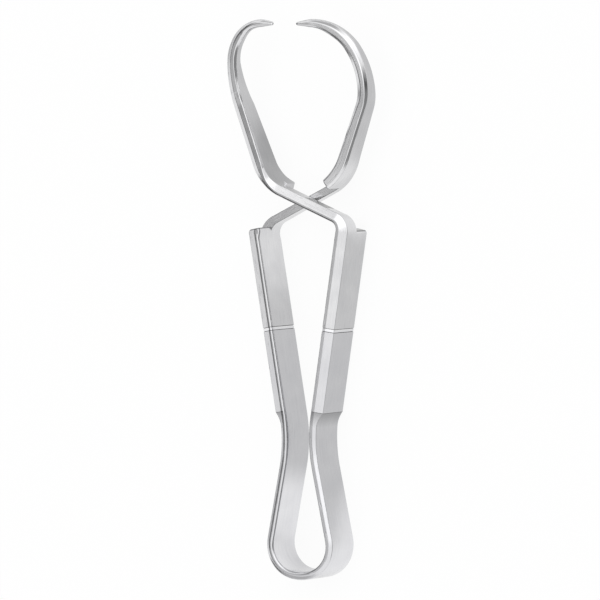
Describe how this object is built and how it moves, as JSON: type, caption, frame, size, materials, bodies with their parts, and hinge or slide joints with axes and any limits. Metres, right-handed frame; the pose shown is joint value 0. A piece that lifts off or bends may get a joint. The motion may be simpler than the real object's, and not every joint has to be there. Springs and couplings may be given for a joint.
{
  "type": "towel clamp",
  "caption": "Cross-action spring towel clamp: a flat strip bent to a spring bow, two grips that cross over and two curved pointed jaws.",
  "frame": {"origin": "middle of the overall length and width, on the flat the clamp lies on", "axes": "+Y from the spring bow to the jaw points, +X across the two arms, +Z along the width of the strip"},
  "size_m": [0.0262, 0.09, 0.007],
  "materials": {
    "spring_steel": "satin stainless spring strip",
    "forged_steel": "satin forged stainless steel"
  },
  "bodies": {
    "spring": {"spring_bow": "spring_steel"},
    "left_lever": {"left_heel": "spring_steel", "left_arm": "forged_steel"},
    "right_lever": {"right_heel": "spring_steel", "right_arm": "forged_steel"}
  },
  "joints": [
    {"name": "left_squeeze", "type": "hinge", "parent": "spring", "child": "left_lever", "pos_m": [0, -0.03317, 0.0035], "axis": [0, 0, -1], "range_deg": [-1.35, 8.8], "stiffness_Nm_per_rad": 5.5, "deforming": ["spring_bow"]},
    {"name": "right_squeeze", "type": "hinge", "parent": "spring", "child": "right_lever", "pos_m": [0, -0.03317, 0.0035], "axis": [0, 0, 1], "range_deg": [-1.35, 8.8], "stiffness_Nm_per_rad": 5.5}
  ],
  "couplings": [
    {"joint": "right_squeeze", "follows": "left_squeeze", "ratio": 1}
  ]
}
